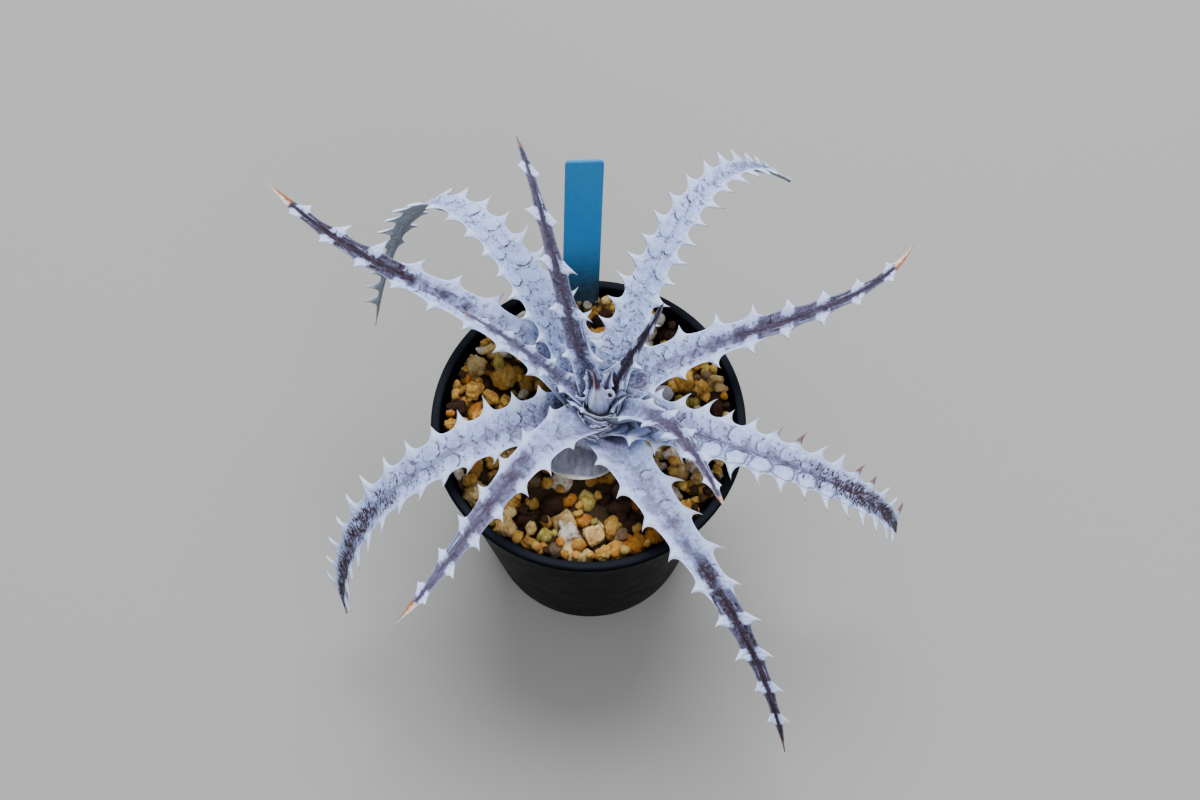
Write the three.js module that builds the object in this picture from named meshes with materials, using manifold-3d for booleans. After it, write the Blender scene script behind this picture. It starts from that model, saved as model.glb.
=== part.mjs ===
// A frosted dyckia, a toothed terrestrial bromeliad, growing in a round black nursery pot.
// Millimetres, +Z up. The origin is the centre of the pot's base, on the ground.
// +X is to the right of the plant and +Y is behind it, where the plant label stands.

import * as THREE from "three";
import { mergeVertices } from "three/addons/utils/BufferGeometryUtils.js";
import Module from "manifold-3d";

const wasm = await Module();
wasm.setup();

// ---- driving dimensions -------------------------------------------------------------

const GAP = 0.3; // clearance left between pieces that touch

const POT = {
  height: 88,
  rimRadius: 45, // a 9 cm pot, measured over the rim
  baseRadius: 31,
  wall: 1.3,
  lip: 1.6, // how far the rolled lip stands out of the wall
  lipHeight: 4.5,
  footWidth: 3.5,
  footHeight: 1.2, // the floor between foot ring and centre pad is raised by this much
  floor: 2.0,
  padRadius: 8, // flat round pad at the middle of the base
  drainHoles: 8,
  drainRadius: 3,
  drainCircle: 18,
  sides: 36,
};

const SOIL = {
  bottom: POT.footHeight + POT.floor + GAP,
  bed: 79, // level of the fine mix between the granules
  grainRadius: [3.4, 4.8],
  grainSpacing: 8.3,
  grainSink: 0.5, // how far a granule's middle lies below the bed
  crownReach: 15, // no granule's middle is nearer the stem than this
  seed: 7,
};

const STEM = {
  x: 3,
  y: 2,
  foot: 36, // lower end of the rootstock
  footRadius: 3,
  rootRadius: 7,
  neck: 81, // where the stem leaves the soil
  top: 98,
  neckRadius: 5.4,
  topRadius: 2.4,
  sides: 14,
};

// The leaves, youngest first. Each midrib is one cubic Bezier curve: root, two handles, tip.
// width is the blade's between its teeth near the base and taper the exponent of its fall to
// the tip. The larger bulge is, 1 if it isn't given, the longer the blade keeps its width
// first. teeth is the number a side. Of the left and the right ones, tooth is how far they
// stand out of the valleys, hook how far they lean towards the leaf's tip, in degrees, and
// tipLoss the share of their size that is lost by the tip, 0.6 if it isn't given. roll is
// how far the blade is turned about its midrib by the time it reaches the tip, in degrees.
const LEAVES = {
  leaf_right_young: {
    midrib: [[7, 5, 94], [9, 9, 107], [16, 10, 120], [20, 14, 134]],
    width: 4.5, taper: 0.8, teeth: 3, tooth: [1.2, 1.2], hook: [0, 0],
  },
  leaf_left_young: {
    midrib: [[-2, 5, 94], [-12, 7, 109], [-22, 11, 122], [-34, 13, 132]],
    width: 6.5, taper: 1, teeth: 5, tooth: [1.8, 1.8], hook: [0, 0],
  },
  leaf_front_young: {
    midrib: [[8, -1, 93], [22, -3, 109], [30, -24, 119], [36, -39, 120]],
    width: 9, taper: 1.05, teeth: 5, tooth: [2.2, 2.2], hook: [10, 10],
  },
  leaf_back: {
    midrib: [[1, 7, 93], [-6, 18, 117], [-12, 43, 138], [-20, 67, 132]],
    width: 7, taper: 0.9, teeth: 5, tooth: [3, 3], hook: [-15, -25],
  },
  leaf_left_upper: {
    midrib: [[-2, 6, 92], [-33, 35.5, 107], [-59, 27.5, 114], [-90, 58, 122]],
    width: 12.6, taper: 0.9, teeth: 8, tooth: [3.2, 5.4], hook: [15, -10],
  },
  leaf_right_upper: {
    midrib: [[8, 5, 91], [27, 23, 104], [77, 17, 111], [91, 41, 118]],
    width: 13, taper: 1.1, teeth: 8, tooth: [3.8, 3.8], hook: [-10, 25],
  },
  leaf_front_left: {
    midrib: [[0, -3, 92], [-16, -8.5, 104], [-33, -49, 112], [-50, -67, 110]],
    width: 12, taper: 0.95, teeth: 7, tooth: [3.4, 3.4], hook: [15, -10],
  },
  leaf_front: {
    midrib: [[6, -4, 88], [16.5, -33, 106], [45, -60, 104], [55, -89, 60]],
    width: 14, taper: 1.1, teeth: 9, tooth: [3.8, 3.6], hook: [35, 30], tipLoss: [0.5, 0.5],
  },
  leaf_right_lower: {
    midrib: [[9, 1, 88], [20, -8, 106], [82, -26, 106], [91, -22, 54]],
    width: 13.5, taper: 0.43, teeth: 14, tooth: [4.8, 5], hook: [18, 30], tipLoss: [0.1, 0.3],
  },
  leaf_left_lower: {
    midrib: [[-3, 1, 88], [-18, -6, 104], [-75, -24, 106], [-72, -43, 42]],
    width: 13.5, taper: 0.5, teeth: 13, tooth: [3.4, 5.3], hook: [38, 0], tipLoss: [0.2, 0],
  },
  leaf_back_left: {
    midrib: [[1, 8, 89], [-27, 52, 120], [-51, 74, 138], [-67, 50, 46]],
    width: 15, bulge: 2, taper: 2.3, teeth: 18, tooth: [4.4, 6.4], hook: [0, 22], tipLoss: [0, 3],
    roll: 60,
  },
  leaf_back_right: {
    midrib: [[5, 8, 89], [23, 55, 120], [39, 66, 136], [61, 81, 82]],
    width: 11.5, taper: 0.75, teeth: 16, tooth: [4.9, 4.9], hook: [8, 22], tipLoss: [0.4, 0.4],
  },
};

// Old leaves cut back to short stubs with a round end under the living ones.
const STUBS = {
  old_stub_front: {
    midrib: [[-2, -2.5, 84.5], [-2.8, -7, 86], [-3.8, -12, 86.4], [-4.2, -17, 85]],
    width: 25, bulge: 3.5, taper: 0.5, teeth: 0, tooth: [0, 0], hook: [0, 0], roll: -15,
  },
  old_stub_right: {
    midrib: [[9, 3, 86], [14, 5, 86.5], [19, 7, 87], [24, 9.5, 87]],
    width: 6.5, bulge: 6, taper: 0.5, teeth: 0, tooth: [0, 0], hook: [0, 0],
  },
};

const BLADE = {
  thickness: 2.4, // at the midrib near the base
  tipThickness: 1,
  edgeColumn: 0.72, // where the flat of the blade ends and the toothed margin begins
  channel: 0.26, // rise of the margin over the midrib, as a share of the half width
  sheathChannel: 0.3, // added to channel where the base wraps round the stem
  sheathLength: 0.16, // share of the leaf taken by the widened base
  sheathFlare: 0.15, // widening of that base
  tipHalfWidth: 0.45,
  firstTooth: 0.07, // share of the length before the first tooth
  lastTooth: 0.94,
  toothReach: 2.9, // a tooth's base runs this far along the margin, each side of its tip
};

// The rolled bud at the middle of the heart, as (x, y, height, radius) along its axis.
const BUD = {
  rings: [
    [3, 2, 90, 2.6], [3, 2.4, 94, 3], [2.9, 2.9, 97.5, 2.8], [2.6, 3.5, 100.5, 1.9],
    [2.2, 4.3, 103, 0.9], [1.8, 5.2, 106.5, 0.55],
  ],
  tip: [1.4, 6, 109],
  sides: 8,
};

// The heart's small leaves round the bud: the way each faces, in degrees from +X, its length
// and width, its tilt from upright, and its root's height and distance from the stem's axis.
const HEART = [
  { facing: 118, length: 13, width: 5.6, tilt: 16, root: 93, radius: 3.0 },
  { facing: 62, length: 10, width: 5.2, tilt: 24, root: 93, radius: 3.2 },
  { facing: 8, length: 8, width: 5, tilt: 34, root: 92, radius: 3.4 },
  { facing: 178, length: 8.5, width: 5.4, tilt: 40, root: 91.5, radius: 3.6 },
  { facing: 300, length: 5, width: 7, tilt: 52, root: 90, radius: 3.4 },
  { facing: 236, length: 6, width: 7.5, tilt: 58, root: 89.5, radius: 3.6 },
];

const LABEL = {
  width: 10.6,
  thickness: 1,
  length: 99,
  pointLength: 26,
  pointWidth: 5,
  cornerRadius: 1.4,
  foot: [-3.6, 29.2, 46], // middle of its lower end
  lean: 14, // degrees it leans to the back
  roll: 1.6, // degrees it leans to the right
  turn: 4, // degrees its right edge is turned to the back
};

const COLOURS = {
  pot: { color: "#121417", roughness: 0.42, metalness: 0 },
  soil: { color: "#b98a45", roughness: 0.95, metalness: 0 },
  stem: { color: "#b9b6bd", roughness: 0.85, metalness: 0 },
  leaf: { color: "#c3c5d6", roughness: 0.8, metalness: 0 },
  oldLeaf: { color: "#a59f97", roughness: 0.9, metalness: 0 },
  label: { color: "#2f8fc4", roughness: 0.5, metalness: 0 },
};

// ---- small helpers ------------------------------------------------------------------

const lerp = THREE.MathUtils.lerp;
const smooth = THREE.MathUtils.smoothstep;
const radians = THREE.MathUtils.degToRad;

function seededRandom(seed) {
  let state = seed;
  return () => {
    state = (state * 1664525 + 1013904223) % 4294967296;
    return state / 4294967296;
  };
}

function toSolid(geometry) {
  const plain = geometry.clone();
  plain.deleteAttribute("normal");
  plain.deleteAttribute("uv");
  const merged = mergeVertices(plain, 1e-4);
  const triVerts = Uint32Array.from(merged.index.array);
  const vertProperties = Float32Array.from(merged.attributes.position.array);
  return new wasm.Manifold(new wasm.Mesh({ numProp: 3, vertProperties, triVerts }));
}

function toGeometry(solid) {
  const { vertProperties, triVerts } = solid.getMesh();
  const geometry = new THREE.BufferGeometry();
  geometry.setAttribute("position", new THREE.BufferAttribute(vertProperties, 3));
  geometry.setIndex(new THREE.BufferAttribute(triVerts, 1));
  geometry.computeVertexNormals();
  return geometry;
}

function makeMesh(name, geometry, look) {
  const mesh = new THREE.Mesh(geometry, new THREE.MeshStandardMaterial(look));
  mesh.name = name;
  return mesh;
}

function lathe(profile, sides) {
  const points = profile.map(([radius, height]) => new THREE.Vector2(radius, height));
  return new THREE.LatheGeometry(points, sides).rotateX(Math.PI / 2);
}

// ---- pot ----------------------------------------------------------------------------

// Outer radius of the tapered wall at a height, without the lip.
function wallRadius(height) {
  return lerp(POT.baseRadius, POT.rimRadius - POT.lip, height / POT.height);
}

function potGeometry() {
  const { height, rimRadius, baseRadius, wall, lip, lipHeight } = POT;
  const top = height;
  const lipBottom = height - lipHeight;
  const floorTop = POT.footHeight + POT.floor;
  const inside = (z) => wallRadius(z) - wall;
  const profile = [
    [0, 0],
    [POT.padRadius, 0],
    [POT.padRadius + 1, POT.footHeight],
    [baseRadius - POT.footWidth - 1, POT.footHeight],
    [baseRadius - POT.footWidth, 0],
    [baseRadius - 0.8, 0],
    [wallRadius(1), 1],
    [wallRadius(lipBottom), lipBottom],
    [rimRadius - 0.4, lipBottom + 0.9],
    [rimRadius, top - 1.6],
    [rimRadius - 0.4, top - 0.4],
    [rimRadius - lip / 2, top],
    [inside(top) + 0.5, top - 0.3],
    [inside(top), top - 1.2],
    [inside(floorTop + 2), floorTop + 2],
    [inside(floorTop) - 2, floorTop],
    [0, floorTop],
  ];
  let pot = toSolid(lathe(profile, POT.sides));
  for (let i = 0; i < POT.drainHoles; i++) {
    const angle = (i / POT.drainHoles) * 2 * Math.PI;
    const hole = new THREE.CylinderGeometry(POT.drainRadius, POT.drainRadius, 4 * floorTop, 10);
    hole.rotateX(Math.PI / 2);
    hole.translate(POT.drainCircle * Math.cos(angle), POT.drainCircle * Math.sin(angle), 0);
    pot = pot.subtract(toSolid(hole));
  }
  return toGeometry(pot);
}

// ---- stem ---------------------------------------------------------------------------

function stemProfile(grow) {
  return [
    [0, STEM.foot - grow],
    [STEM.footRadius + grow, STEM.foot - grow],
    [STEM.rootRadius + grow, STEM.neck - 12],
    [STEM.rootRadius + grow, STEM.neck - 4],
    [STEM.neckRadius + grow, STEM.neck],
    [STEM.neckRadius + grow, STEM.top - 8],
    [STEM.topRadius + grow, STEM.top + grow],
    [0, STEM.top + grow],
  ];
}

function stemSolid(grow = 0) {
  const geometry = lathe(stemProfile(grow), STEM.sides);
  geometry.translate(STEM.x, STEM.y, 0);
  return toSolid(geometry);
}

// ---- plant label --------------------------------------------------------------------

// A flat strip with rounded upper corners and a blunt point, standing upright in the soil.
function labelGeometry(grow = 0) {
  const { length, pointLength, cornerRadius: corner } = LABEL;
  const half = LABEL.width / 2 + grow;
  const point = LABEL.pointWidth / 2 + grow;
  const thickness = LABEL.thickness + 2 * grow;
  const outline = new THREE.Shape();
  outline.moveTo(-point, -grow);
  outline.lineTo(point, -grow);
  outline.lineTo(half, pointLength);
  outline.lineTo(half, length - corner);
  outline.absarc(half - corner, length - corner, corner, 0, Math.PI / 2, false);
  outline.absarc(corner - half, length - corner, corner, Math.PI / 2, Math.PI, false);
  outline.lineTo(-half, pointLength);
  outline.closePath();
  const strip = new THREE.ExtrudeGeometry(outline, {
    depth: thickness,
    bevelEnabled: false,
    curveSegments: 4,
  });
  return strip.translate(0, 0, -thickness / 2).rotateX(Math.PI / 2);
}

function labelPlace() {
  const turned = new THREE.Euler(-radians(LABEL.lean), radians(LABEL.roll), radians(LABEL.turn));
  return new THREE.Matrix4().compose(
    new THREE.Vector3(...LABEL.foot),
    new THREE.Quaternion().setFromEuler(turned),
    new THREE.Vector3(1, 1, 1),
  );
}

// ---- soil ---------------------------------------------------------------------------

// The space inside the pot, from its floor to its rim, less the gap to the wall.
function potInside(bottom, top) {
  const radius = (z) => wallRadius(z) - POT.wall - GAP;
  const profile = [
    [0, bottom],
    [radius(bottom) - 2.4, bottom],
    [radius(bottom + 2), bottom + 2],
    [radius(top), top],
    [0, top],
  ];
  return toSolid(lathe(profile, POT.sides));
}

// Middles of the granules, one in each cell of a jittered triangular grid.
function grainPlaces(random) {
  const spacing = SOIL.grainSpacing;
  const reach = wallRadius(SOIL.bed);
  const rows = Math.ceil(reach / spacing) + 1;
  const places = [];
  for (let row = -rows; row <= rows; row++) {
    for (let column = -rows; column <= rows; column++) {
      const x = (column + (row % 2) / 2 + 0.45 * (random() - 0.5)) * spacing;
      const y = (row + 0.45 * (random() - 0.5)) * spacing * 0.87;
      const fromStem = Math.hypot(x - STEM.x, y - STEM.y);
      if (Math.hypot(x, y) < reach - 1 && fromStem > SOIL.crownReach) places.push([x, y]);
    }
  }
  return places;
}

// A bed of fine mix with a granule of pumice or baked clay half sunk in it everywhere.
function soilGeometry() {
  const random = seededRandom(SOIL.seed);
  const [small, large] = SOIL.grainRadius;
  let soil = potInside(SOIL.bottom, SOIL.bed);
  for (const [x, y] of grainPlaces(random)) {
    const grain = new THREE.IcosahedronGeometry(lerp(small, large, random()), 0);
    grain.rotateX(random() * Math.PI);
    grain.rotateY(random() * Math.PI);
    grain.scale(1, 0.85, 0.95);
    grain.rotateZ(random() * Math.PI);
    grain.translate(x, y, SOIL.bed - SOIL.grainSink);
    soil = soil.add(toSolid(grain));
  }
  const slot = labelGeometry(GAP).applyMatrix4(labelPlace());
  soil = soil.intersect(potInside(SOIL.bottom, POT.height));
  return toGeometry(soil.subtract(stemSolid(GAP)).subtract(toSolid(slot)));
}

// ---- leaves -------------------------------------------------------------------------

// Half the blade's width, between its teeth, at a share t of the leaf's length.
function halfWidth(leaf, t) {
  const fall = (1 - t ** (leaf.bulge ?? 1)) ** leaf.taper;
  const blade = lerp(BLADE.tipHalfWidth, leaf.width / 2, fall);
  const sheath = 1 - smooth(t, 0, BLADE.sheathLength);
  return blade * (1 + BLADE.sheathFlare * sheath);
}

// Hollow flanks that meet in a sharp point: 1 at the tooth's tip, 0 at its foot.
function toothRise(fromTip) {
  return (1 - fromTip) ** 2.3;
}

// How far a left and a right tooth stand out at a share t of the leaf's length.
function toothSizes(leaf, t) {
  const { tooth, tipLoss = [0.6, 0.6] } = leaf;
  const atBase = 0.55 + 0.45 * smooth(t, 0, 0.25);
  const atTip = smooth(t, 0.6, 1);
  return tooth.map((size, side) => size * atBase * Math.max(0, 1 - tipLoss[side] * atTip));
}

// Stations along the leaf: share of the length t, and how far they are from the nearest
// tooth's tip, 1 being the tooth's foot. Teeth far apart have a straight margin between them.
function stations(leaf, length) {
  if (leaf.teeth === 0) return [0, 0.3, 0.6, 0.8, 0.92, 0.98, 1].map((t) => ({ t, fromTip: 1 }));
  const pitch = (BLADE.lastTooth - BLADE.firstTooth) / leaf.teeth;
  const reach = Math.min(pitch / 2, BLADE.toothReach / length);
  const apart = reach < 0.45 * pitch;
  const list = [{ t: 0, fromTip: 1 }, { t: BLADE.firstTooth / 2, fromTip: 1 }];
  for (let i = 0; i < leaf.teeth; i++) {
    const tip = BLADE.firstTooth + (i + 0.5) * pitch;
    for (const place of apart ? [-1, -0.45, 0, 0.45, 1] : [-1, -0.45, 0, 0.45]) {
      list.push({ t: tip + place * reach, fromTip: Math.abs(place) });
    }
  }
  list.push({ t: BLADE.lastTooth + (apart ? 0.01 : 0), fromTip: 1 });
  return list;
}

// One blade as a loft of eight-sided sections: toothed edge, shoulder, midrib, shoulder and
// toothed edge on the upper face, then shoulder, keel and shoulder on the lower one.
function bladeGeometry(leaf, grow = 0) {
  const curve = new THREE.CubicBezierCurve3(...leaf.midrib.map((p) => new THREE.Vector3(...p)));
  const span = curve.v3.clone().sub(curve.v0);
  const level = new THREE.Vector3(-span.y, span.x, 0).normalize();
  const positions = [];
  const rows = stations(leaf, curve.getLength());
  const pitch = leaf.teeth ? (BLADE.lastTooth - BLADE.firstTooth) / leaf.teeth : 0;
  const widest = Math.max(...leaf.tooth);

  for (const { t, fromTip } of rows) {
    const half = halfWidth(leaf, t);
    const rises = toothSizes(leaf, t).map((size) => size * toothRise(fromTip));
    const thick = lerp(BLADE.thickness, BLADE.tipThickness, t);
    const sheath = 1 - smooth(t, 0, 2 * BLADE.sheathLength);
    const channel = BLADE.channel + BLADE.sheathChannel * sheath;
    const roll = radians(leaf.roll ?? 0) * t;
    const shoulder = BLADE.edgeColumn * half;
    const lift = (channel * shoulder * shoulder) / half;

    // place a point: across the blade, out of its upper face, forward along it, and moved
    // outwards by the growth
    const place = (across, out, forward, wider, higher) => {
      const shift = (across / (half + widest)) * (pitch / 4);
      const s = THREE.MathUtils.clamp(t + (t > 0 ? shift * smooth(t, 0, 0.1) : 0), 0, 1);
      const at = curve.getPointAt(s);
      const ahead = curve.getTangentAt(s);
      const side = level.clone().addScaledVector(ahead, -level.dot(ahead)).normalize();
      side.applyAxisAngle(ahead, roll);
      const up = new THREE.Vector3().crossVectors(ahead, side);
      at.addScaledVector(side, across + wider * grow).addScaledVector(up, out + higher * grow);
      at.addScaledVector(ahead, t === 0 ? -2 * grow : forward);
      positions.push(at.x, at.y, at.z);
    };
    // one toothed edge: its side is 0 on the left and 1 on the right
    const placeEdge = (side) => {
      const rise = rises[side];
      const out = channel * (half + 0.35 * rise) - 0.25 * thick;
      const slope = (out - lift) / (half + rise - shoulder);
      const reach = rise + (fromTip < 1 ? 3 * grow : 0);
      const sign = side === 0 ? 1 : -1;
      const lean = reach * Math.tan(radians(leaf.hook[side]));
      place(sign * (half + rise), out, lean, 3 * sign, 3 * slope);
    };
    placeEdge(0);
    place(shoulder, lift, 0, 0, 1);
    place(0, 0, 0, 0, 1);
    place(-shoulder, lift, 0, 0, 1);
    placeEdge(1);
    place(-shoulder, lift - 0.7 * thick, 0, 0, -1);
    place(0, -thick, 0, 0, -1);
    place(shoulder, lift - 0.7 * thick, 0, 0, -1);
  }

  const columns = 8;
  const index = [];
  for (let i = 0; i + 1 < rows.length; i++) {
    for (let j = 0; j < columns; j++) {
      const a = i * columns + j;
      const b = i * columns + ((j + 1) % columns);
      const c = b + columns;
      const d = a + columns;
      // both faces of the blade are split along the same diagonals
      if (j < columns / 2) index.push(a, b, c, a, c, d);
      else index.push(a, b, d, b, c, d);
    }
  }
  // the flat lower end, and the same at the upper end of a leaf that was cut back
  const flatEnd = [0, 7, 1, 1, 7, 6, 1, 6, 2, 2, 6, 5, 2, 5, 3, 3, 5, 4];
  const last = (rows.length - 1) * columns;
  index.push(...flatEnd);
  if (leaf.teeth === 0) {
    index.push(...flatEnd.map((corner) => last + corner).reverse());
  } else {
    const tip = positions.length / 3;
    const end = curve.getPointAt(1).addScaledVector(curve.getTangentAt(1), 2 * grow);
    positions.push(end.x, end.y, end.z);
    for (let j = 0; j < columns; j++) index.push(last + j, last + ((j + 1) % columns), tip);
  }

  const geometry = new THREE.BufferGeometry();
  geometry.setAttribute("position", new THREE.Float32BufferAttribute(positions, 3));
  geometry.setIndex(index);
  geometry.computeVertexNormals();
  return geometry;
}

function heartLeaf({ facing, length, width, tilt, root, radius }) {
  const outward = new THREE.Vector3(Math.cos(radians(facing)), Math.sin(radians(facing)), 0);
  const foot = new THREE.Vector3(STEM.x, STEM.y, root).addScaledVector(outward, radius);
  const reach = (part, lean) => {
    const at = foot.clone().addScaledVector(outward, length * part * Math.sin(radians(lean)));
    at.z += length * part * Math.cos(radians(lean));
    return at.toArray();
  };
  return {
    midrib: [foot.toArray(), reach(0.33, tilt * 0.4), reach(0.66, tilt * 0.7), reach(1, tilt)],
    width,
    taper: 0.8,
    teeth: 2,
    tooth: [0.9, 0.9],
    hook: [0, 0],
  };
}

// The bud: a leaf still rolled up, as a tapering horn that leans to the back.
function budSolid(grow = 0) {
  const positions = [];
  const index = [];
  const { rings, tip, sides } = BUD;
  for (const [x, y, height, radius] of rings) {
    for (let i = 0; i < sides; i++) {
      const angle = (i / sides) * 2 * Math.PI;
      const reach = radius + grow;
      positions.push(x + reach * Math.cos(angle), y + reach * Math.sin(angle), height);
    }
  }
  positions.push(...rings[0].slice(0, 3), tip[0], tip[1], tip[2] + 2 * grow);
  const foot = rings.length * sides;
  const top = foot - sides;
  for (let i = 0; i < sides; i++) {
    const next = (i + 1) % sides;
    index.push(foot, next, i, foot + 1, top + i, top + next);
    for (let r = 0; r + 1 < rings.length; r++) {
      const a = r * sides;
      const b = a + sides;
      index.push(a + i, a + next, b + next, a + i, b + next, b + i);
    }
  }
  const geometry = new THREE.BufferGeometry();
  geometry.setAttribute("position", new THREE.Float32BufferAttribute(positions, 3));
  geometry.setIndex(index);
  return toSolid(geometry);
}

// The stem with its rootstock and the heart of young leaves that are still part of it.
function stemAndHeart(grow = 0) {
  let solid = stemSolid(grow).add(budSolid(grow));
  for (const leaf of HEART) solid = solid.add(toSolid(bladeGeometry(heartLeaf(leaf), grow)));
  return solid;
}

function largestPiece(solid) {
  const pieces = solid.decompose();
  return pieces.reduce((kept, piece) => (piece.volume() > kept.volume() ? piece : kept));
}

// ---- assembly -----------------------------------------------------------------------

const group = new THREE.Group();
group.add(makeMesh("pot", potGeometry(), COLOURS.pot));
group.add(makeMesh("soil", soilGeometry(), COLOURS.soil));

const label = makeMesh("plant_label", labelGeometry(), COLOURS.label);
label.applyMatrix4(labelPlace());
group.add(label);

// Each leaf is hollowed where the stem or a younger leaf lies against it.
group.add(makeMesh("stem_and_heart", toGeometry(stemAndHeart()), COLOURS.stem));
const younger = [stemAndHeart(GAP)];
for (const [name, leaf] of Object.entries({ ...LEAVES, ...STUBS })) {
  let blade = toSolid(bladeGeometry(leaf));
  for (const neighbour of younger) {
    if (blade.intersect(neighbour).volume() > 0) {
      blade = largestPiece(blade.subtract(neighbour));
    }
  }
  younger.push(toSolid(bladeGeometry(leaf, GAP)));
  group.add(makeMesh(name, toGeometry(blade), name in STUBS ? COLOURS.oldLeaf : COLOURS.leaf));
}

export default group;
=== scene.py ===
# The looks of a frosted dyckia in its nursery pot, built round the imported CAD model.
# Shapes are worked out in millimetres, in the model's own frame, and stored in metres.

import math
from types import SimpleNamespace

import bmesh
import bpy
import numpy as np
from mathutils import Matrix, Vector


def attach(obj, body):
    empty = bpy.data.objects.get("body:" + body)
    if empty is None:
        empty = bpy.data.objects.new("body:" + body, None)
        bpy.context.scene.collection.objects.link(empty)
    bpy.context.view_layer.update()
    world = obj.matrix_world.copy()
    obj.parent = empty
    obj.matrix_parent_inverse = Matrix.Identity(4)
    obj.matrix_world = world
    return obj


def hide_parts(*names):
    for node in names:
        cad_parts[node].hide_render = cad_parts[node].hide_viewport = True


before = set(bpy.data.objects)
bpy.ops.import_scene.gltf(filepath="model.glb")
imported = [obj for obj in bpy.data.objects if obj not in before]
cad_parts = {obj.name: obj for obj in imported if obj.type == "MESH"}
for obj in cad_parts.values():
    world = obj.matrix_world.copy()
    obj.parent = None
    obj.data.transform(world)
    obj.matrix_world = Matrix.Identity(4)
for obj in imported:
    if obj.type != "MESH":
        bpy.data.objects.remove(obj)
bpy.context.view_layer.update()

MM = 0.001
TURN = 2 * math.pi
rng = np.random.default_rng(11)

# ---- what is shared with the CAD ------------

POT = SimpleNamespace(
    height=88.0, rim_radius=45.0, base_radius=31.0, wall=1.3, lip=1.6, lip_height=4.5,
    foot_width=3.5, foot_height=1.2, floor=2.0, pad_radius=8.0, drain_holes=8,
    drain_radius=3.0, drain_circle=18.0)
STEM = SimpleNamespace(x=3.0, y=2.0)
SOIL = SimpleNamespace(bed=78.0, top=84.9)
BLADE = SimpleNamespace(
    thickness=2.4, tip_thickness=1.0, channel=0.26, sheath_channel=0.3, sheath_length=0.16,
    sheath_flare=0.15, tip_half_width=0.45, first_tooth=0.07, last_tooth=0.94,
    tooth_reach=2.9)
LABEL = SimpleNamespace(
    width=10.6, thickness=1.0, length=99.0, point_length=26.0, point_width=5.0,
    corner_radius=1.4, bevel=0.18, foot=(-3.6, 29.2, 46.0), lean=14.0, roll=1.6, turn=4.0)


class Leaf(SimpleNamespace):
    """A leaf: its midrib (root, two handles, tip), width, taper and number of teeth, the
    length of its left and right teeth, and what differs from these usual values."""

    hook = (0, 0)  # degrees that the left and right teeth lean towards the tip
    tip_loss = (0.6, 0.6)  # share of their length that they lose by the tip
    bulge = 1  # how late the blade narrows
    roll = 0  # degrees that the blade is turned about its midrib by the tip
    stripe = (2.0, 0.0, 0.5, 0.0)  # the dark stripe's start, strength, width, mauveness
    mottle = (2.0, 0.0)  # the dark flecks' start and strength
    hatch = 1.0  # how fine those flecks are
    point = (2.0, 0.0)  # the bare spine's length and how orange it is
    scale = 1.0  # how large the neighbours' imprints are
    crisp = 1.0  # how sharp the cracks are
    middle_shade = 0.5  # how strong the painted shade along the middle of the blade is
    plum = 0.3  # how strong the purple clouds are
    vein = 0.0  # how dark the midrib's line is
    nails = 0  # the side with a row of nail-shaped scales: 1 left, -1 right
    browned = 0  # the side with dead brown teeth, in the same way
    ivory = 0.95  # how white the teeth are


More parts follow.
